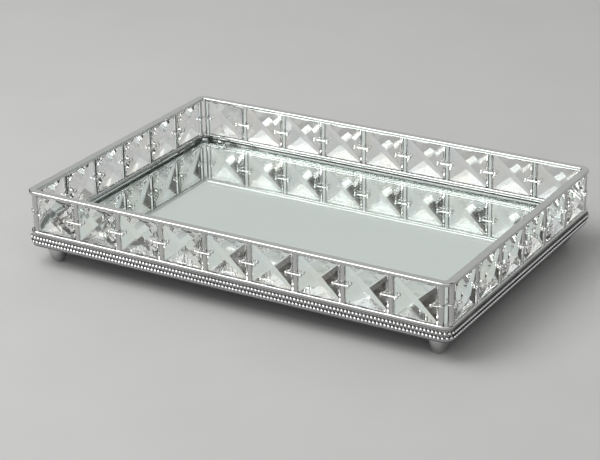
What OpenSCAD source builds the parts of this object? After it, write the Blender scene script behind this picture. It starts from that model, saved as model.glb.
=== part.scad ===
// Mirrored vanity tray: two chromed rails joined by posts, with a cut crystal in every bay,
// a bevelled mirror for a floor, a stone-set band round the base and four domed feet.
// Origin: centre of the tray in plan, on the surface that the feet stand on. X runs along the long side.

/* [Crystal walls] */
// Spacing of the posts along every wall
pitch = 31; // [27:0.5:38]
// Crystals along each long wall
long_count = 9; // [4:1:10]
// Crystals along each short wall
short_count = 6; // [3:1:7]
// Clear height between the two rails
opening_h = 24; // [18:0.5:30]
// Clearance round a crystal, to the posts and to the rails
crystal_gap = 0.3; // [0.1:0.05:0.6]
// Thickness of a crystal at its centre, from point to point
crystal_t = 8.8; // [6:0.2:11]
// Thickness of a crystal at its edge
crystal_edge_t = 3.2; // [2:0.2:5]
// Flat ground along the edges of a crystal
crystal_arris = 0.3; // [0.1:0.05:0.6]
// Diameter of the two drilled holes in a crystal
hole_d = 1.4; // [1:0.1:1.8]
// Distance of a hole from the crystal's side edge
hole_inset = 2.7; // [2:0.1:3.5]

/* [Posts and rails] */
// Diameter of a post
post_d = 3.6; // [2.4:0.1:4.4]
// Width of a rail, seen from above
rail_w = 5; // [4.2:0.1:7]
// Height of a rail
rail_h = 2.3; // [1.6:0.1:4]
// Rounding of a rail's long edges
rail_edge_r = 0.7; // [0.2:0.05:0.75]

/* [Link pins] */
// Wire of a link pin
wire_d = 0.8; // [0.5:0.05:0.9]
// Beads on the outside of the wall
outer_bead_d = 2.2; // [1.6:0.1:2.8]
// Beads on the inside of the wall
inner_bead_d = 2.8; // [1.8:0.1:3]
// Clearance between a bead and the crystal, and between the wire and an end post
pin_gap = 0.1; // [0.05:0.05:0.3]
// Clearance between the two links that pass each other at a corner
corner_clearance = 0.25; // [0.1:0.05:2]

/* [Stone band] */
// Height of the band, from the underside of the base sheet to the lower rail
band_h = 6.9; // [6:0.1:12]
// Thickness of the band strip
band_t = 0.8; // [0.5:0.1:1.2]
// How far the strip's outer face is set back from the rail's outer face
band_setback = 0.3; // [0:0.1:0.6]
// Height of one row of stones
stone_row_h = 2.9; // [2:0.1:3]
// How far the stones stand out from the strip
stone_depth = 1.3; // [0.8:0.1:2]

/* [Mirror] */
// Thickness of the mirror glass
glass_t = 4; // [2.5:0.5:4.5]
// Width of the bevel ground round the mirror
bevel_w = 9; // [4:0.5:20]
// Depth of the bevel at the glass edge
bevel_drop = 1.2; // [0.4:0.1:1.8]
// Clearance between the glass and the band strip
mirror_gap = 0.4; // [0.2:0.1:1]
// Thickness of the silvering and its protective paint
silver_t = 0.1; // [0.05:0.05:0.2]
// Thickness of the mounting tape
tape_t = 0.4; // [0.3:0.1:0.8]
// Width of each strip of mounting tape
tape_w = 20; // [10:1:30]
// Distance of the tape's ends from the edge of the glass
tape_end = 30; // [15:1:40]

/* [Base] */
// Thickness of the base sheet
sheet_t = 1.1; // [0.8:0.1:1.5]
// Thickness of the felt
felt_t = 0.8; // [0.5:0.1:1.5]
// How far the felt's edge is set back from the strip's outer face
felt_setback = 0.3; // [0:0.1:2]

/* [Feet] */
// Height of the felt's underside above the surface
foot_h = 13; // [6:0.5:25]
// Diameter of a foot at its top
foot_d = 14; // [9:0.5:15]
// Diameter of the flat that a foot stands on
foot_flat_d = 5; // [4:0.5:7]
// Distance of a foot's axis from the centre planes of the two nearest walls
foot_inset = 10.5; // [8:0.5:30]
// Clearance of the felt round a foot
felt_clearance = 0.4; // [0.1:0.1:1]
// Thread diameter of the foot screws
screw_d = 3; // [2:0.5:4]
// Length of a foot screw below the base sheet
screw_grip = 5; // [3:0.5:6]
// Radial clearance of a screw in its hole
screw_clearance = 0.05; // [0.02:0.01:0.15]

/* [Hidden] */
$fn = 48;
eps = 0.01;
WALLS = ["front", "right", "back", "left"];

// Radius of the rails' centreline at a corner. The end posts stand where the bend starts and ends, so it
// leaves room for the links that go round both. It is rounded up to a whole step.
size_step = 0.05;
corner_links = post_d + 2 * (pin_gap + wire_d) + corner_clearance;
corner_r = ceil(corner_links / sqrt(2) / size_step) * size_step;

// Half sizes of the rectangle that the wall centre planes make.
half_x = long_count * pitch / 2 + corner_r;
half_y = short_count * pitch / 2 + corner_r;

// Heights, from the standing surface up.
sheet_z = foot_h + felt_t;
tape_z = sheet_z + sheet_t;
silver_z = tape_z + tape_t;
glass_z = silver_z + silver_t;
lower_rail_z = sheet_z + band_h;
opening_z = lower_rail_z + rail_h;
top_rail_z = opening_z + opening_h;
mid_z = opening_z + opening_h / 2;

// Offsets outward from the wall centre planes.
band_out = rail_w / 2 - band_setback;
band_in = band_out - band_t;
glass_out = band_in - mirror_gap;
felt_out = band_out - felt_setback;

crystal_w = pitch - post_d - 2 * crystal_gap;
crystal_h = opening_h - 2 * crystal_gap;
facet_angle = atan((crystal_t - crystal_edge_t) / crystal_w);
hole_x = crystal_w / 2 - hole_inset;
// Half thickness of the crystal at a hole, the hole's distance from the post, and the wire's bend at an end post.
crystal_at_hole = crystal_edge_t / 2 + hole_inset * tan(facet_angle);
link_x = pitch / 2 - hole_x;
link_bend_r = post_d / 2 + pin_gap + wire_d / 2;
// The small joint where a straight run meets that bend.
link_joint_d = wire_d + 2 * pin_gap;
// Turns a bead so that no wire leaves it along the sphere's seam.
bead_turn = 45;
screw_head_d = screw_d + 2 * sheet_t;

function wall_count(wall) = wall == "front" || wall == "back" ? long_count : short_count;
function wall_turn(wall) = 90 * search([wall], WALLS)[0];
function wall_reach(wall) = wall == "front" || wall == "back" ? half_y : half_x;
function crystal_name(wall, i) = str("crystal_", wall, "_", i);
function post_x(wall, i) = (i - wall_count(wall) / 2) * pitch;
// Distance of a bead's centre from the wall's centre plane, where it rests on the sloping facet.
function bead_y(bead_d) = crystal_at_hole + (bead_d / 2 + pin_gap) / cos(facet_angle);

// A wall's own frame: X runs along the wall, -Y points out of the tray.
module on_wall(wall) {
    rotate(wall_turn(wall)) translate([0, -wall_reach(wall), 0]) children();
}

module at_feet() {
    for (sx = [-1, 1], sy = [-1, 1])
        translate([sx * (half_x - foot_inset), sy * (half_y - foot_inset), 0]) children();
}

// Sweeps a profile round the tray: its X is the distance out from the centre planes, its Y the height.
module round_the_tray() {
    for (turn = [0 : 3]) {
        out = turn % 2 == 0 ? half_x : half_y;
        along = turn % 2 == 0 ? half_y : half_x;
        rotate(90 * turn) translate([out - corner_r, along - corner_r, 0]) {
            rotate([90, 0, 0]) linear_extrude(2 * (along - corner_r)) translate([corner_r, 0]) children();
            rotate_extrude(angle = 90) translate([corner_r, 0]) children();
        }
    }
}

// A flat plate whose edge lies a distance out from the wall centre planes.
module plate(out, thickness) {
    x = half_x + out;
    y = half_y + out;
    r = corner_r + out;
    linear_extrude(thickness) {
        square([2 * (x - r), 2 * y], center = true);
        square([2 * x, 2 * (y - r)], center = true);
        for (sx = [-1, 1], sy = [-1, 1])
            translate([sx * (x - r), sy * (y - r)]) circle(r);
    }
}

module rail_profile() {
    flat_w = rail_w - 2 * rail_edge_r;
    flat_h = rail_h - 2 * rail_edge_r;
    square([rail_w, flat_h], center = true);
    square([flat_w, rail_h], center = true);
    for (sx = [-1, 1], sy = [-1, 1])
        translate([sx * flat_w / 2, sy * flat_h / 2]) circle(rail_edge_r);
}

module rail(z) {
    color("silver") translate([0, 0, z + rail_h / 2]) round_the_tray() rail_profile();
}

module band_strip() {
    color("silver") translate([0, 0, sheet_z])
        round_the_tray() translate([band_in, 0]) square([band_t, band_h]);
}

// One row of set stones as a half-round moulding; row is -1 for the lower and 1 for the upper.
module stone_row(row) {
    half = stone_row_h / 2;
    color("gainsboro") translate([0, 0, sheet_z + band_h / 2 + row * half])
        round_the_tray() translate([band_out, 0]) polygon([
            [0, -half], [stone_depth / 2, -half], [stone_depth, -half / 2],
            [stone_depth, half / 2], [stone_depth / 2, half], [0, half]
        ]);
}

module base_sheet() {
    color("darkgray") translate([0, 0, sheet_z]) difference() {
        plate(band_in, sheet_t);
        at_feet() {
            translate([0, 0, -eps]) cylinder(d = screw_d + 2 * screw_clearance, h = sheet_t + 2 * eps);
            cylinder(d1 = screw_d + 2 * screw_clearance, d2 = screw_head_d + 2 * screw_clearance, h = sheet_t);
        }
    }
}

module base_felt() {
    color("dimgray") translate([0, 0, foot_h]) difference() {
        plate(felt_out, felt_t);
        at_feet() translate([0, 0, -eps]) cylinder(d = foot_d + 2 * felt_clearance, h = felt_t + 2 * eps);
    }
}

// Cross-section of the glass, with the bevel running down to the edge on both sides.
module glass_profile(half) {
    polygon([
        [-half, 0], [half, 0], [half, glass_t - bevel_drop], [half - bevel_w, glass_t],
        [bevel_w - half, glass_t], [-half, glass_t - bevel_drop]
    ]);
}

module mirror_glass() {
    x = half_x + glass_out;
    y = half_y + glass_out;
    color("lightcyan", 0.5) translate([0, 0, glass_z]) intersection() {
        plate(glass_out, glass_t);
        translate([0, y, 0]) rotate([90, 0, 0]) linear_extrude(2 * y) glass_profile(x);
        translate([-x, 0, 0]) rotate([90, 0, 90]) linear_extrude(2 * x) glass_profile(y);
    }
}

module mirror_silvering() {
    color("lightsteelblue") translate([0, 0, silver_z]) plate(glass_out, silver_t);
}

module mirror_tape() {
    length = 2 * (half_x + glass_out - tape_end);
    spread = half_y + glass_out - tape_end - tape_w / 2;
    color("white") for (row = [-1, 0, 1])
        translate([-length / 2, row * spread - tape_w / 2, tape_z]) cube([length, tape_w, tape_t]);
}

module posts(wall) {
    color("silver") on_wall(wall) for (i = [0 : wall_count(wall)])
        translate([post_x(wall, i), 0, opening_z]) cylinder(d = post_d, h = opening_h);
}

// Section through a crystal: flat at the edges and rising to a point in the middle on both faces.
module crystal_profile(size) {
    s = size / 2;
    e = crystal_edge_t / 2;
    t = crystal_t / 2;
    a = crystal_arris;
    polygon([
        [-s, a - e], [a - s, -e], [0, -t], [s - a, -e], [s, a - e],
        [s, e - a], [s - a, e], [0, t], [a - s, e], [-s, e - a]
    ]);
}

// The two sections crossed give the four facets that meet in an X on each face.
module crystal(wall, i) {
    color("aliceblue", 0.6) on_wall(wall)
        translate([(post_x(wall, i - 1) + post_x(wall, i)) / 2, 0, mid_z]) difference() {
            intersection() {
                linear_extrude(crystal_h, center = true) crystal_profile(crystal_w);
                rotate([0, 90, 0]) linear_extrude(crystal_w, center = true) crystal_profile(crystal_h);
            }
            for (sx = [-1, 1]) translate([sx * hole_x, 0, 0])
                rotate([90, 0, 0]) cylinder(d = hole_d, h = crystal_t, center = true);
        }
}

// A straight run of wire between two points at mid height.
module strand(from, to) {
    run = to - from;
    translate([from[0], from[1], 0]) rotate([0, 90, atan2(run[1], run[0])])
        cylinder(d = wire_d, h = norm(run));
}

// The wire through a crystal's hole, with the beads that hold it on both faces.
module beaded_leg(x) {
    strand([x, -bead_y(outer_bead_d)], [x, bead_y(inner_bead_d)]);
    translate([x, -bead_y(outer_bead_d), 0]) rotate(bead_turn) sphere(d = outer_bead_d);
    translate([x, bead_y(inner_bead_d), 0]) rotate(bead_turn) sphere(d = inner_bead_d);
}

// A link between two crystals: a closed wire loop that passes the post on both sides.
module link_between() {
    for (side = [-1, 1]) beaded_leg(side * link_x);
    for (y = [-bead_y(outer_bead_d), bead_y(inner_bead_d)]) strand([-link_x, y], [link_x, y]);
}

// A link at an end post: both runs of wire meet the bend round the post at its tangent points.
module link_at_end() {
    corners = [[link_x, -bead_y(outer_bead_d)], [link_x, bead_y(inner_bead_d)]];
    turns = [for (k = [0, 1]) let (p = corners[k])
        atan2(p[1], p[0]) + (2 * k - 1) * acos(link_bend_r / norm(p))];
    beaded_leg(link_x);
    for (k = [0, 1]) {
        strand(corners[k], link_bend_r * [cos(turns[k]), sin(turns[k])]);
        rotate(turns[k]) translate([link_bend_r, 0, 0]) sphere(d = link_joint_d);
    }
    rotate(turns[1]) rotate_extrude(angle = 360 + turns[0] - turns[1])
        translate([link_bend_r, 0]) circle(d = wire_d);
}

module link_pins(wall) {
    last = wall_count(wall);
    color("silver") on_wall(wall) for (i = [0 : last])
        translate([post_x(wall, i), 0, mid_z])
            if (i == 0) link_at_end();
            else if (i == last) mirror([1, 0, 0]) link_at_end();
            else link_between();
}

// A foot's outline: half an ellipse that stands on a flat.
module foot(sx, sy) {
    height = sheet_z;
    r = foot_d / 2;
    drop = height / sqrt(1 - pow(foot_flat_d / foot_d, 2));
    steps = 16;
    color("silver") translate([sx * (half_x - foot_inset), sy * (half_y - foot_inset), 0]) difference() {
        rotate_extrude() polygon(concat(
            [[0, 0]],
            [for (k = [0 : steps]) let (z = height * k / steps) [r * sqrt(1 - pow((height - z) / drop, 2)), z]],
            [[0, height]]
        ));
        translate([0, 0, height - screw_grip - screw_clearance])
            cylinder(d = screw_d + 2 * screw_clearance, h = screw_grip + screw_clearance + eps);
    }
}

module foot_screws() {
    color("gray") at_feet() {
        translate([0, 0, sheet_z - screw_grip]) cylinder(d = screw_d, h = screw_grip);
        translate([0, 0, sheet_z]) cylinder(d1 = screw_d, d2 = screw_head_d, h = sheet_t);
    }
}

rail(top_rail_z);  // top_rail
rail(lower_rail_z);  // lower_rail
band_strip();
stone_row(1);  // stone_row_upper
stone_row(-1);  // stone_row_lower
base_sheet();
base_felt();
mirror_glass();
mirror_silvering();
mirror_tape();
foot(-1, -1);  // foot_front_left
foot(1, -1);  // foot_front_right
foot(-1, 1);  // foot_back_left
foot(1, 1);  // foot_back_right
foot_screws();
for (wall = WALLS) {
    posts(wall);
    link_pins(wall);
    for (i = [1 : wall_count(wall)])
        crystal(wall, i);
}
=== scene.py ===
import math

import bpy
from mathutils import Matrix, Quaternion, Vector
from mathutils.geometry import tessellate_polygon


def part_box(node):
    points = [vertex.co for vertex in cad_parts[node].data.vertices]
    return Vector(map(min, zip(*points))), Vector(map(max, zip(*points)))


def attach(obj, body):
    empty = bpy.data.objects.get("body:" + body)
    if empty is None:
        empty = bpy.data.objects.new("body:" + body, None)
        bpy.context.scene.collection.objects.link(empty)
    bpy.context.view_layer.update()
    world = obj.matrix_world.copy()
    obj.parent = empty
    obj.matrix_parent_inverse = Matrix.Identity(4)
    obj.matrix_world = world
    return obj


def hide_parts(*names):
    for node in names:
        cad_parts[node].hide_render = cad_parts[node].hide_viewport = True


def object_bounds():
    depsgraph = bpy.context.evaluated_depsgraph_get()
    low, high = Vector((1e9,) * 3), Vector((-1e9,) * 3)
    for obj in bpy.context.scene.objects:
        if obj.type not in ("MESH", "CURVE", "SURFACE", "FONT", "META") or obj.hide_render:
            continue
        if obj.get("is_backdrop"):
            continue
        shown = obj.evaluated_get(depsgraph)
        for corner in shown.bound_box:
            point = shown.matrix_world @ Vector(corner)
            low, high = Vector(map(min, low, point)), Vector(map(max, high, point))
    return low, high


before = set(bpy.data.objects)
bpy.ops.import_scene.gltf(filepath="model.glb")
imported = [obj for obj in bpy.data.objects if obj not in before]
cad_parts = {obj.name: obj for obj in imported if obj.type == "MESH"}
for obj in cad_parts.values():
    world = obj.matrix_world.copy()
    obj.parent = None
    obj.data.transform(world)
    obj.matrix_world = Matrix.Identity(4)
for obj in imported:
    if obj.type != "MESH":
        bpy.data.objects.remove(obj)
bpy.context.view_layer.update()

# The camera: it looks down on the front of the tray from the right, through a long lens.
# It is rolled by about a degree.
VIEW_TURN = math.radians(30.9)
VIEW_RISE = math.radians(23.4)
VIEW_ROLL = math.radians(-1.1)
VIEW_AIM = Vector((0.006, -0.024, 0.025))
VIEW_DISTANCE = 1.209
VIEW_LENS = 118.1
VIEW_NEAR = 0.01
VIEW_FAR = 20

view_back = Vector(
    (
        math.sin(VIEW_TURN) * math.cos(VIEW_RISE),
        -math.cos(VIEW_TURN) * math.cos(VIEW_RISE),
        math.sin(VIEW_RISE),
    )
)
camera = bpy.data.objects.new("camera", bpy.data.cameras.new("camera"))
camera.data.lens = VIEW_LENS
camera.data.clip_start = VIEW_NEAR
camera.data.clip_end = VIEW_FAR
camera.location = VIEW_AIM + VIEW_DISTANCE * view_back
turned = view_back.to_track_quat("Z", "Y") @ Quaternion((0, 0, 1), VIEW_ROLL)
camera.rotation_euler = turned.to_euler()
bpy.context.scene.collection.objects.link(camera)
bpy.context.scene.camera = camera
bpy.context.scene.view_settings.view_transform = "Standard"
bpy.context.scene.cycles.max_bounces = 24
bpy.context.scene.cycles.transmission_bounces = 20
bpy.context.scene.cycles.glossy_bounces = 10

# The table: a wide flat top in pale matt paint, faintly mottled and slightly rough.
# The tray stands on it, and it is not part of the tray.
TABLE_HALF = 3.0
PAINT_DARK = (0.405, 0.405, 0.40)
PAINT_LIGHT = (0.44, 0.44, 0.435)


class Signal:
    """A socket in a material or the room. Arithmetic on it adds Math nodes, and node() any other node."""

    def __init__(self, tree, socket=None):
        self.tree = tree
        self.socket = socket

    def node(self, kind, settings=None, inputs=None, output=0):
        made = self.tree.nodes.new(kind)
        for name, value in (settings or {}).items():
            if name == "stops":
                elements = made.color_ramp.elements
                for place, shade in value[1:-1]:
                    elements.new(place)
                elements[0].position = value[0][0]
                elements[-1].position = value[-1][0]
                for element, (place, shade) in zip(elements, value):
                    element.color = (*shade, 1)
            else:
                setattr(made, name, value)
        for name, value in (inputs or {}).items():
            if isinstance(value, Signal):
                self.tree.links.new(value.socket, made.inputs[name])
            else:
                made.inputs[name].default_value = value
        return Signal(self.tree, made.outputs[output]) if made.outputs else None

    def maths(self, operation, first, second):
        return self.node("ShaderNodeMath", {"operation": operation}, {0: first, 1: second})

    def __add__(self, other):
        return self.maths("ADD", self, other)

    def __mul__(self, other):
        return self.maths("MULTIPLY", self, other)

    __radd__ = __add__
    __rmul__ = __mul__


def new_material(name):
    material = bpy.data.materials.new(name)
    material.use_nodes = True
    material.node_tree.nodes.clear()
    return material, Signal(material.node_tree)


def grain(tools, scale, detail=3.0, stretch=(1, 1, 1)):
    """Noise from 0 to 1; scale is in waves to the metre, and stretch multiplies it along X, Y and Z."""
    place = tools.node("ShaderNodeTexCoord", output="Object")
    place = tools.node("ShaderNodeMapping", None, {"Vector": place, "Scale": stretch})
    return tools.node("ShaderNodeTexNoise", None, {"Vector": place, "Scale": scale, "Detail": detail})


def ramp(tools, factor, stops):
    """A colour from a row of stops, each a place from 0 to 1 and a colour."""
    return tools.node("ShaderNodeValToRGB", {"stops": stops}, {"Fac": factor})


def blend(tools, factor, first, second):
    """A colour between two others, which are plain colours or signals."""
    first, second = [shade if isinstance(shade, Signal) else (*shade, 1) for shade in (first, second)]
    return tools.node("ShaderNodeMix", {"data_type": "RGBA"}, {0: factor, 6: first, 7: second}, output=2)


def bumps(tools, height, depth, strength=1.0):
    """The normal of a surface whose bumps are depth metres high."""
    return tools.node("ShaderNodeBump", None, {"Height": height, "Distance": depth, "Strength": strength})


def close(tools, **inputs):
    """Ends a material in one Principled shader; underscores stand for the spaces in its sockets' names."""
    sockets = {name.replace("_", " "): value for name, value in inputs.items()}
    shader = tools.node("ShaderNodeBsdfPrincipled", None, sockets)
    tools.node("ShaderNodeOutputMaterial", None, {"Surface": shader})


def mesh_piece(name, corners, faces, materials, indices=None):
    """A new object from corners and faces; indices gives each face's material."""
    mesh = bpy.data.meshes.new(name)
    mesh.from_pydata(corners, [], faces)
    for material in materials:
        mesh.materials.append(material)
    if indices:
        mesh.polygons.foreach_set("material_index", indices)
    mesh.update()
    piece = bpy.data.objects.new(name, mesh)
    bpy.context.scene.collection.objects.link(piece)
    return piece


table_finish, tools = new_material("table_paint")
mottle = grain(tools, scale=14, detail=4)
close(
    tools,
    Base_Color=blend(tools, mottle, PAINT_DARK, PAINT_LIGHT),
    Roughness=0.55 + 0.1 * mottle,
    Normal=bumps(tools, grain(tools, scale=900), depth=0.0001, strength=0.3),
)
rim = [(x * TABLE_HALF, y * TABLE_HALF, 0) for x, y in ((-1, -1), (1, -1), (1, 1), (-1, 1))]
mesh_piece("table_top", rim, [(0, 1, 2, 3)], [table_finish])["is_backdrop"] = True

# The room: what the polished metal and cut glass mirror. A pale wall stands beyond the tray and to its
# right, with dark cabinets at both its ends, and the windows are behind the camera and to its left.
# Each list of its colours runs clockwise from behind the camera (0) to behind it again (1).
WALL_PALE = (0.66, 0.67, 0.66)
WALL_DIM = (0.20, 0.20, 0.20)
CABINET = (0.040, 0.032, 0.027)
CABINET_EDGE_WARM = (0.45, 0.33, 0.20)
CABINET_EDGE_COOL = (0.38, 0.46, 0.62)
WINDOW = (1.2, 1.205, 1.21)
CEILING = (0.42, 0.42, 0.42)
ROOM_LOW = [
    (0.00, WINDOW),
    (0.22, WINDOW),
    (0.24, CABINET),
    (0.30, CABINET),
    (0.33, WALL_DIM),
    (0.39, CABINET),
    (0.465, CABINET),
    (0.467, CABINET_EDGE_WARM),
    (0.469, WALL_PALE),
    (0.700, WALL_PALE),
    (0.703, CABINET_EDGE_COOL),
    (0.706, CABINET),
    (0.86, CABINET),
    (0.89, WINDOW),
    (1.00, WINDOW),
]
ROOM_HIGH = [
    (0.00, WINDOW),
    (0.26, WINDOW),
    (0.30, WALL_DIM),
    (0.36, WALL_DIM),
    (0.40, WALL_PALE),
    (0.68, WALL_PALE),
    (0.71, CABINET),
    (0.84, CABINET),
    (0.89, WINDOW),
    (1.00, WINDOW),
]
HIGH_FROM = 0.50
HIGH_TO = 0.53
CEILING_FROM = 0.80
CEILING_TO = 0.92

room = bpy.data.worlds.new("room")
room.use_nodes = True
room.node_tree.nodes.clear()
bpy.context.scene.world = room
tools = Signal(room.node_tree)
way = tools.node("ShaderNodeTexCoord", output="Generated")
height = tools.node("ShaderNodeSeparateXYZ", None, {"Vector": way}, output="Z")
away = (-math.sin(VIEW_TURN), math.cos(VIEW_TURN), 0)
across = (math.cos(VIEW_TURN), math.sin(VIEW_TURN), 0)
depth, width = [
    tools.node("ShaderNodeVectorMath", {"operation": "DOT_PRODUCT"}, {0: way, 1: axis}, output="Value")
    for axis in (away, across)
]
turn = 0.5 + width.maths("ARCTAN2", width, depth) * (1 / math.tau)


def climb(lower, upper, start, end):
    """A colour of the room that changes from lower to upper between two heights."""
    rise = tools.node("ShaderNodeMapRange", None, {"Value": height, "From Min": start, "From Max": end})
    return blend(tools, rise, lower, upper)


walls = climb(ramp(tools, turn, ROOM_LOW), ramp(tools, turn, ROOM_HIGH), HIGH_FROM, HIGH_TO)
shade = climb(walls, CEILING, CEILING_FROM, CEILING_TO)
sky = tools.node("ShaderNodeBackground", None, {"Color": shade, "Strength": 1.0})
tools.node("ShaderNodeOutputWorld", None, {"Surface": sky})

# The lamps: a large soft lamp over the left of the table, and two small ones in front and behind
# that put sparks on the stones and on the ridges of the crystals.
LAMP_WHITE = (1.0, 1.0, 1.0)
LAMP_SOFT = (1.0, 0.995, 0.985)
BAND_AIM = (0, 0, 0.02)


def lamp(name, place, aim, width, depth, power, shade):
    light = bpy.data.lights.new(name, "AREA")
    light.shape = "RECTANGLE"
    light.size = width
    light.size_y = depth
    light.energy = power
    light.color = shade
    holder = bpy.data.objects.new(name, light)
    holder.location = place
    holder.rotation_euler = (Vector(place) - Vector(aim)).to_track_quat("Z", "Y").to_euler()
    bpy.context.scene.collection.objects.link(holder)


lamp("overhead_lamp", (-0.6, -0.45, 1.2), (0, 0, 0), width=1.1, depth=0.9, power=16, shade=LAMP_SOFT)
lamp("front_spark_lamp", (-0.9, -0.9, 1.0), BAND_AIM, width=0.16, depth=0.16, power=1.6, shade=LAMP_WHITE)
lamp("back_spark_lamp", (0.9, 0.9, 1.0), BAND_AIM, width=0.12, depth=0.12, power=0.9, shade=LAMP_WHITE)


# The base sheet: 1.1 mm cold-rolled steel, zinc plated, blanked with four countersunk holes.
# It is spot welded inside the band strip and carries the mirror and the feet.
def finish_node(name, material):
    """Gives a CAD node its material."""
    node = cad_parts[name]
    node.data.materials.clear()
    node.data.materials.append(material)


def plated(name, dull, bright, polish, mark_scale, mark_depth, stretch=(1, 1, 1)):
    """Plated metal between two greys; polish is its roughness, and the marks are its polishing marks."""
    material, tools = new_material(name)
    cloud = grain(tools, scale=60, detail=2)
    marks = grain(tools, mark_scale, 4, stretch)
    close(
        tools,
        Base_Color=blend(tools, cloud, dull, bright),
        Metallic=1.0,
        Roughness=polish * (0.7 + 0.6 * marks),
        Normal=bumps(tools, marks, mark_depth, strength=0.6),
    )
    return material


ZINC_DULL = (0.50, 0.51, 0.53)
ZINC_BRIGHT = (0.62, 0.63, 0.65)
zinc_finish = plated("zinc_plate", ZINC_DULL, ZINC_BRIGHT, polish=0.32, mark_scale=1400, mark_depth=2e-5)
finish_node("base_sheet", zinc_finish)

# The felt: a 0.8 mm grey needle felt, die cut with a hole for each foot and glued under the base
# sheet, so that its edge shows as a thin dark line below the stones.
FELT_CORNER_R = 0.0059
FELT_CORNER_STEPS = 12
FELT_HOLE_STEPS = 40
FELT_LAYERS = (0.0, 0.3, 0.7, 1.0)
FOOT_ROOM = 0.0004
FELT_DARK = (0.035, 0.036, 0.040)
FELT_GREY = (0.11, 0.11, 0.12)
FEET = ("foot_front_left", "foot_front_right", "foot_back_right", "foot_back_left")


def rounded_outline(half_x, half_y, radius, steps):
    """Points round a rectangle with rounded corners, anticlockwise."""
    points = []
    for turn, (sx, sy) in enumerate(((1, 1), (-1, 1), (-1, -1), (1, -1))):
        for step in range(steps + 1):
            angle = math.radians(90) * (turn + step / steps)
            x = sx * (half_x - radius) + radius * math.cos(angle)
            y = sy * (half_y - radius) + radius * math.sin(angle)
            points.append(Vector((x, y, 0)))
    return points


felt_low, felt_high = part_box("base_felt")
felt_loops = [rounded_outline(felt_high.x, felt_high.y, FELT_CORNER_R, FELT_CORNER_STEPS)]
for foot in FEET:
    low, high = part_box(foot)
    middle = (low + high) / 2
    radius = (high.x - low.x) / 2 + FOOT_ROOM
    felt_loops.append(
        [
            Vector((middle.x + radius * math.cos(a), middle.y - radius * math.sin(a), 0))
            for a in (math.tau * step / FELT_HOLE_STEPS for step in range(FELT_HOLE_STEPS))
        ]
    )
flat_faces = tessellate_polygon(felt_loops)
felt_points = [point for loop in felt_loops for point in loop]
felt_count = len(felt_points)
felt_top = (len(FELT_LAYERS) - 1) * felt_count
felt_corners = []
for share in FELT_LAYERS:
    z = felt_low.z + share * (felt_high.z - felt_low.z)
    felt_corners += [(p.x, p.y, z) for p in felt_points]
felt_faces = [tuple(reversed(face)) for face in flat_faces]
felt_faces += [tuple(felt_top + corner for corner in face) for face in flat_faces]
for layer in range(len(FELT_LAYERS) - 1):
    start = layer * felt_count
    for loop in felt_loops:
        for i in range(len(loop)):
            a = start + i
            b = start + (i + 1) % len(loop)
            felt_faces.append((a, b, b + felt_count, a + felt_count))
        start += len(loop)
felt_finish, tools = new_material("grey_felt")
fibre = grain(tools, scale=2600, detail=6)
clump = grain(tools, scale=260, detail=3)
close(
    tools,
    Base_Color=blend(tools, 0.5 * fibre + 0.5 * clump, FELT_DARK, FELT_GREY),
    Roughness=0.85 + 0.1 * fibre,
    Sheen_Weight=0.4,
    Normal=bumps(tools, fibre + clump, depth=0.0002),
)
felt = mesh_piece("felt_pad", felt_corners, felt_faces, [felt_finish])
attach(felt, "root")
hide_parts("base_felt")

# The feet: solid zinc domes, turned and satin plated, each drawn up against the base sheet by a
# countersunk steel screw from above.
SATIN_DULL = (0.42, 0.425, 0.42)
SATIN_BRIGHT = (0.58, 0.585, 0.578)
TURNED = (1, 1, 0.05)
SCREW_DULL = (0.42, 0.42, 0.43)
SCREW_BRIGHT = (0.55, 0.55, 0.56)
foot_finish = plated(
    "satin_plate", SATIN_DULL, SATIN_BRIGHT, polish=0.12, mark_scale=700, mark_depth=1e-5, stretch=TURNED
)
for foot in FEET:
    finish_node(foot, foot_finish)
screw_finish = plated("screw_steel", SCREW_DULL, SCREW_BRIGHT, polish=0.3, mark_scale=1800, mark_depth=2e-5)
finish_node("foot_screws", screw_finish)

# The band: a bright plated steel strip bent round the base, with its ends butted at the back.
# It joins the base sheet to the lower rail and carries the stones.
BAND_DULL = (0.40, 0.40, 0.395)
BAND_BRIGHT = (0.50, 0.50, 0.495)
band_finish = plated("band_plate", BAND_DULL, BAND_BRIGHT, polish=0.15, mark_scale=500, mark_depth=6e-6)
finish_node("band_strip", band_finish)

# The stones: two rows of round clear stones with foiled backs, each in a pressed cup with four
# claws. The cups are joined into a chain, which is glued to the band strip. The cups' near-black grey
# is painted shade for the dark gaps between the stones.
STONE_PITCH = 0.0024
STONE_SIDES = 8
CUP_R = 0.00116
CUP_LIP_R = 0.00100
CUP_RISE = 0.00078
CUP_FLOOR_R = 0.00050
CUP_FLOOR_OUT = 0.000144
GIRDLE_R = 0.00098
GIRDLE_OUT = 0.00072
TABLE_R = 0.00050
TABLE_OUT = 0.00126
POINT_OUT = 0.00018
CLAW_OUT = 0.00112
CLAW_TIP_R = 0.00078
CLAW_ROOT_R = 0.00090
CLAW_ROOT_OUT = 0.0003
CLAW_HALF = 0.00022
CLAW_TAPER = 0.6
CLAW_LEAN = 0.94
LINK_HALF = 0.00025
LINK_REACH = 0.9
LINK_BACK = 0.0001
LINK_FRONT = 0.0004
BAND_CORNER_R = 0.0062
FOIL_PALE = (0.80, 0.81, 0.82)
FOIL_WHITE = (1.0, 1.0, 1.0)
# Painted shade: the cups' greys are far darker than plating, standing in for the shade between the stones.
CUP_SHADE_DARK = (0.10, 0.10, 0.10)
CUP_SHADE_LIGHT = (0.26, 0.26, 0.26)


def ring(radius, out, turn=0.0):
    """Points of a ring round a stone's axis: along the chain, up, and out from the strip."""
    angles = (math.tau * (side + turn) / STONE_SIDES for side in range(STONE_SIDES))
    return [(radius * math.cos(angle), radius * math.sin(angle), out) for angle in angles]


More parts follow.
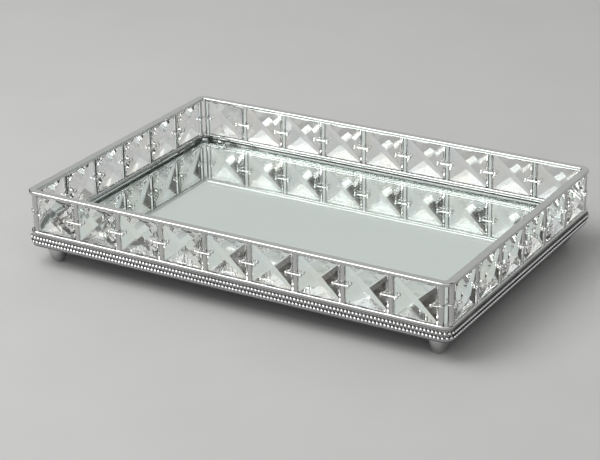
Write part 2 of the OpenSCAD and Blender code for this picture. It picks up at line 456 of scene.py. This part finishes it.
def stone_in_cup():
    """Corners and faces of one stone in its cup; material 0 is the stone and 1 the cup."""
    corners, faces, kinds = [], [], []

    def add(points, shapes, kind):
        start = len(corners)
        corners.extend(points)
        faces.extend(tuple(start + i for i in shape) for shape in shapes)
        kinds.extend([kind] * len(shapes))

    n = STONE_SIDES
    crown = []
    for i in range(n):
        j = (i + 1) % n
        crown += [(i, j, n + i), (j, n + j, n + i)]
    backs = [(i, (i + 1) % n, 2 * n)[::-1] for i in range(n)]
    add(
        ring(GIRDLE_R, GIRDLE_OUT) + ring(TABLE_R, TABLE_OUT, 0.5) + [(0, 0, POINT_OUT)],
        crown + [tuple(range(n, 2 * n))] + backs,
        0,
    )

    cup = ring(CUP_R, 0) + ring(CUP_R, CUP_RISE)
    cup += ring(CUP_LIP_R, CUP_RISE) + ring(CUP_FLOOR_R, CUP_FLOOR_OUT)
    floor = len(cup) - n
    walls = [
        (k + i, k + (i + 1) % n, k + n + (i + 1) % n, k + n + i) for k in range(0, floor, n) for i in range(n)
    ]
    add(cup, walls + [tuple(range(floor, floor + n)), tuple(range(n))[::-1]], 1)

    box_faces = [(3, 2, 1, 0), (4, 5, 6, 7), (1, 5, 4, 0), (2, 6, 5, 1), (3, 7, 6, 2), (0, 4, 7, 3)]
    claw_shape = [
        (-1, CUP_R, CLAW_ROOT_OUT),
        (1, CUP_R, CLAW_ROOT_OUT),
        (1, CLAW_ROOT_R, CLAW_ROOT_OUT),
        (-1, CLAW_ROOT_R, CLAW_ROOT_OUT),
        (-CLAW_TAPER, CUP_R * CLAW_LEAN, CLAW_OUT),
        (CLAW_TAPER, CUP_R * CLAW_LEAN, CLAW_OUT),
        (CLAW_TAPER, CLAW_TIP_R, CLAW_OUT),
        (-CLAW_TAPER, CLAW_TIP_R, CLAW_OUT),
    ]
    for claw in range(4):
        angle = math.tau * (claw + 0.5) / 4
        along = Vector((math.cos(angle), math.sin(angle), 0))
        across = Vector((-math.sin(angle), math.cos(angle), 0))
        rise = Vector((0, 0, 1))
        claw_points = [
            tuple(reach * along + side * CLAW_HALF * across + out * rise) for side, reach, out in claw_shape
        ]
        add(claw_points, box_faces, 1)

    start = CUP_R * LINK_REACH
    end = STONE_PITCH - CUP_R * LINK_REACH
    outline = ((start, -LINK_HALF), (end, -LINK_HALF), (end, LINK_HALF), (start, LINK_HALF))
    add([(x, y, z) for z in (LINK_BACK, LINK_FRONT) for x, y in outline], box_faces, 1)
    return corners, faces, kinds


def along_rounded(half_x, half_y, radius, travel):
    """A point on a rounded rectangle, travel metres from the middle of its front, and the way it faces."""
    runs = []
    for turn, length in enumerate((half_x, half_y, half_x, half_y)):
        runs.append((2 * (length - radius), turn, False))
        runs.append((radius * math.pi / 2, turn, True))
    travel += half_x - radius
    travel %= sum(run[0] for run in runs)
    for length, turn, bend in runs:
        if travel <= length:
            break
        travel -= length
    out = half_y if turn % 2 == 0 else half_x
    reach = half_x if turn % 2 == 0 else half_y
    spin = math.radians(90) * turn
    if bend:
        sweep = travel / radius
        bend_x = reach - radius + radius * math.sin(sweep)
        bend_y = radius - out - radius * math.cos(sweep)
        point = Vector((bend_x, bend_y))
        facing = spin + sweep
    else:
        point = Vector((travel - (reach - radius), -out))
        facing = spin
    x = point.x * math.cos(spin) - point.y * math.sin(spin)
    y = point.x * math.sin(spin) + point.y * math.cos(spin)
    return x, y, facing


stone_finish, tools = new_material("foiled_stone")
glint = grain(tools, scale=380, detail=1)
close(
    tools,
    Base_Color=blend(tools, glint, FOIL_PALE, FOIL_WHITE),
    Metallic=0.85,
    Roughness=0.04 + 0.08 * glint,
    Coat_Weight=1.0,
    Coat_Roughness=0.02,
    Normal=bumps(tools, grain(tools, scale=3000), depth=2e-6, strength=0.4),
)
# The cups' dark greys are painted shade between the stones.
cup_shade_finish = plated("cup_painted_shade", CUP_SHADE_DARK, CUP_SHADE_LIGHT, polish=0.2, mark_scale=2200, mark_depth=6e-6)
band_low, band_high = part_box("band_strip")
chain_length = 4 * (band_high.x + band_high.y - 2 * BAND_CORNER_R) + math.tau * BAND_CORNER_R
stone_count = round(chain_length / STONE_PITCH)
unit_corners, unit_faces, unit_kinds = stone_in_cup()
for row, shift in (("lower", 0.0), ("upper", 0.5)):
    row_low, row_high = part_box(f"stone_row_{row}")
    row_z = (row_low.z + row_high.z) / 2
    corners, faces, kinds = [], [], []
    for i in range(stone_count):
        travel = (i + shift) * chain_length / stone_count
        x, y, facing = along_rounded(band_high.x, band_high.y, BAND_CORNER_R, travel)
        cos = math.cos(facing)
        sin = math.sin(facing)
        start = len(corners)
        corners += [(x + u * cos + w * sin, y + u * sin - w * cos, row_z + v) for u, v, w in unit_corners]
        faces += [tuple(start + corner for corner in face) for face in unit_faces]
        kinds += unit_kinds
    chain = mesh_piece(f"stone_chain_{row}", corners, faces, [stone_finish, cup_shade_finish], kinds)
    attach(chain, "root")
    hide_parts(f"stone_row_{row}")

# The mirror: tape strips hold the silvered glass to the base sheet. The silvering is a bright
# metal film with a coat of grey paint behind it, so the film is modelled just inside the glass.
SILVER_CORNER_R = 0.005
SILVER_SINK = 0.00003
SILVER_INSET = 0.00005
TAPE_GREY = (0.72, 0.72, 0.70)
TAPE_WHITE = (0.86, 0.86, 0.84)
FILM_DULL = (0.88, 0.90, 0.89)
FILM_BRIGHT = (0.91, 0.93, 0.92)
BACKING_DARK = (0.20, 0.22, 0.23)
BACKING_LIGHT = (0.25, 0.27, 0.28)
GLASS_GREEN = (0.885, 0.945, 0.92)
GLASS_CLEAR = (0.90, 0.95, 0.93)

tape_finish, tools = new_material("foam_tape")
pores = grain(tools, scale=2400, detail=4)
close(
    tools,
    Base_Color=blend(tools, pores, TAPE_GREY, TAPE_WHITE),
    Roughness=0.75 + 0.15 * pores,
    Normal=bumps(tools, pores, depth=0.0001, strength=0.6),
)
finish_node("mirror_tape", tape_finish)

silver_finish, tools = new_material("mirror_silver")
haze = grain(tools, scale=30, detail=3)
close(
    tools,
    Base_Color=blend(tools, haze, FILM_DULL, FILM_BRIGHT),
    Metallic=1.0,
    Roughness=0.004 + 0.006 * haze,
)
paint_finish, tools = new_material("backing_paint")
orange_peel = grain(tools, scale=1500, detail=3)
close(
    tools,
    Base_Color=blend(tools, orange_peel, BACKING_DARK, BACKING_LIGHT),
    Roughness=0.5 + 0.15 * orange_peel,
    Normal=bumps(tools, orange_peel, depth=4e-5, strength=0.4),
)
silver_low, silver_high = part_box("mirror_silvering")
silver_outline = rounded_outline(
    silver_high.x - SILVER_INSET, silver_high.y - SILVER_INSET, SILVER_CORNER_R, FELT_CORNER_STEPS
)
count = len(silver_outline)
silver_corners = [(p.x, p.y, silver_low.z) for p in silver_outline]
silver_corners += [(p.x, p.y, silver_high.z + SILVER_SINK) for p in silver_outline]
silver_faces = [tuple(range(count))[::-1], tuple(range(count, 2 * count))]
silver_faces += [(i, (i + 1) % count, count + (i + 1) % count, count + i) for i in range(count)]
silver_kinds = [0, 1] + [0] * count
silver_coats = [paint_finish, silver_finish]
silvering = mesh_piece("silvering", silver_corners, silver_faces, silver_coats, silver_kinds)
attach(silvering, "root")
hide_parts("mirror_silvering")

pane_finish, tools = new_material("float_glass")
wave = grain(tools, scale=9, detail=2)
close(
    tools,
    Base_Color=blend(tools, wave, GLASS_GREEN, GLASS_CLEAR),
    Roughness=0.0,
    IOR=1.52,
    Transmission_Weight=1.0,
    Normal=bumps(tools, wave, depth=2e-5, strength=0.2),
)
finish_node("mirror_glass", pane_finish)

# The rails: two rings of flat steel bar with rolled edges, bent round the corners, closed by a
# weld at the back and bright plated. The posts are brazed between them.
CHROME_DULL = (0.50, 0.506, 0.50)
CHROME_BRIGHT = (0.62, 0.626, 0.618)
POST_DULL = (0.50, 0.503, 0.495)
POST_BRIGHT = (0.66, 0.663, 0.653)
DRAWN = (1, 1, 0.04)
WALLS = ("front", "right", "back", "left")
rail_finish = plated("rail_plate", CHROME_DULL, CHROME_BRIGHT, polish=0.14, mark_scale=420, mark_depth=8e-6)
post_finish = plated(
    "post_plate", POST_DULL, POST_BRIGHT, polish=0.05, mark_scale=700, mark_depth=4e-5, stretch=DRAWN
)
for rail in ("lower_rail", "top_rail"):
    finish_node(rail, rail_finish)
for wall in WALLS:
    finish_node(f"posts_{wall}", post_finish)

# The crystals: pressed and polished clear crystal, four facets meeting in a point on each face,
# with two drilled holes for the links. Each ridge has a narrow polished flat. The faint amber and blue
# in the crystal and the stronger amber and blue on the ridge flats are painted fire, standing in
# for the colour flashes of dispersion.
RIDGE_FLAT = 0.00030
RIDGE_ANGLE = math.radians(8)
CRYSTAL_IOR = 1.56
CLEAR = (0.985, 0.992, 0.986)
# Painted fire: amber and blue at random stand in for the colour flashes of dispersion.
BODY_PAINTED_FIRE = [(0.38, (0.985, 0.955, 0.905)), (0.46, CLEAR), (0.58, CLEAR), (0.66, (0.93, 0.96, 0.99))]
RIDGE_PAINTED_FIRE = [(0.42, (1.0, 0.66, 0.30)), (0.47, CLEAR), (0.55, CLEAR), (0.60, (0.45, 0.66, 1.0))]
crystal_finish, tools = new_material("cut_crystal")
close(
    tools,
    Base_Color=ramp(tools, grain(tools, scale=70, detail=2), BODY_PAINTED_FIRE),
    Roughness=0.0,
    IOR=CRYSTAL_IOR,
    Transmission_Weight=1.0,
    Normal=bumps(tools, grain(tools, scale=120, detail=2), depth=6e-6, strength=0.3),
)
# The ridge flats' amber and blue are painted fire.
fire_finish, tools = new_material("ridge_fire")
fire = ramp(tools, grain(tools, scale=60, detail=1), RIDGE_PAINTED_FIRE)
close(tools, Base_Color=fire, Roughness=0.0, IOR=CRYSTAL_IOR, Transmission_Weight=1.0)
for name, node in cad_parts.items():
    if name.startswith("crystal_"):
        finish_node(name, crystal_finish)
        node.data.materials.append(fire_finish)
        ridges = node.modifiers.new("polished_ridges", "BEVEL")
        ridges.width = RIDGE_FLAT
        ridges.segments = 1
        ridges.material = 1
        ridges.limit_method = "ANGLE"
        ridges.angle_limit = RIDGE_ANGLE

# The links: bright nickel wire, threaded through the crystals' holes and round the posts, with a
# bead at each end.
NICKEL_DULL = (0.66, 0.66, 0.655)
NICKEL_BRIGHT = (0.78, 0.78, 0.775)
link_finish = plated("link_nickel", NICKEL_DULL, NICKEL_BRIGHT, polish=0.06, mark_scale=1600, mark_depth=4e-6)
for wall in WALLS:
    finish_node(f"link_pins_{wall}", link_finish)

low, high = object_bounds()
